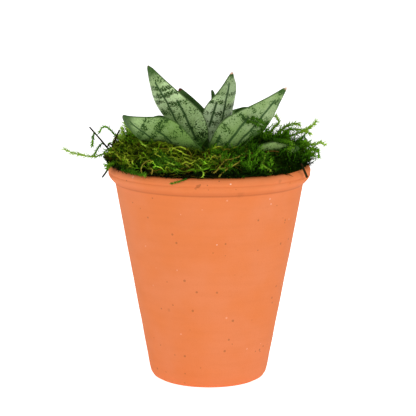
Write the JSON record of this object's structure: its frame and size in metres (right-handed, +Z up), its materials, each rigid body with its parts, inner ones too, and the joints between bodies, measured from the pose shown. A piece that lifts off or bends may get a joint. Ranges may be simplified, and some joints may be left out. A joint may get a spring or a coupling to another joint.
{
  "type": "potted snake plant",
  "caption": "Dwarf snake plant: a rosette of pointed, banded leaves in a tapered clay pot with a rolled rim, its soil dressed with olive and green moss.",
  "frame": {"origin": "centre of the pot's flat underside, on the pot's axis", "axes": "+Z up along the pot's axis, -Y towards the viewer of the picture, +X to the right in the picture"},
  "size_m": [0.1581, 0.1282, 0.1927],
  "materials": {
    "terracotta": "matte unglazed clay",
    "soil": "moist potting mix, rough",
    "crown": "pale fleshy plant tissue",
    "leaf": "waxy satin leaf, grey-green with dark bands",
    "moss_olive": "wiry dry moss",
    "moss_green": "soft feathery moss"
  },
  "bodies": {
    "root": {"pot": "terracotta", "soil": "soil", "crown": "crown", "leaf_left": "leaf", "leaf_tall": "leaf", "leaf_middle": "leaf", "leaf_right": "leaf", "leaf_low_right": "leaf", "leaf_back_left": "leaf", "leaf_back_right": "leaf", "leaf_young": "leaf", "moss_olive": "moss_olive", "moss_green": "moss_green"}
  },
  "joints": []
}
